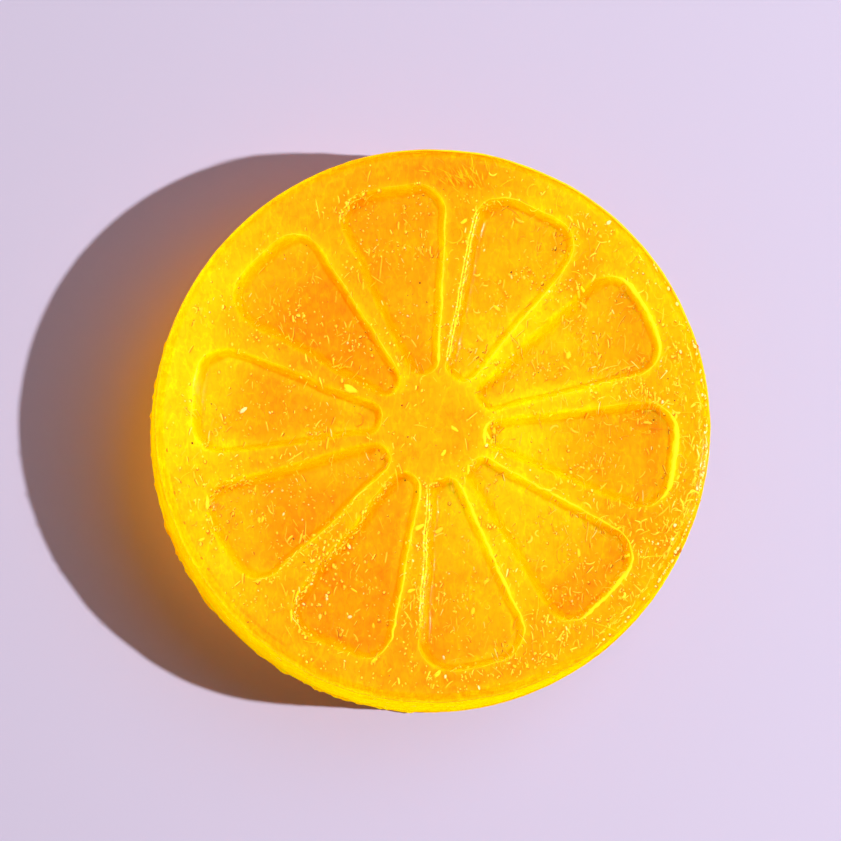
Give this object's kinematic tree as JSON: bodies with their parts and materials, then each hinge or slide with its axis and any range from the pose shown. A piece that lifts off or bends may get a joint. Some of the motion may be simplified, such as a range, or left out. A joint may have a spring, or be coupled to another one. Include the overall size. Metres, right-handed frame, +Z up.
{
  "type": "moulded jelly lemon slice",
  "caption": "Round, thick moulded jelly copy of a lemon slice, translucent yellow, flat underneath, with recessed wedge segments, a raised rim, thin membranes and a hub on top.",
  "frame": {"origin": "middle of the flat base, on the surface that it rests on", "axes": "+Z up through the slice's thickness, from the flat base to the face with the segments; the slice is round about Z, and one segment points 7.6 degrees clockwise from +X seen from above"},
  "size_m": [0.07, 0.07, 0.016],
  "materials": {
    "jelly": "glossy translucent yellow jelly with fine bubbles and scratches"
  },
  "bodies": {
    "root": {"slice": "jelly"}
  },
  "joints": []
}
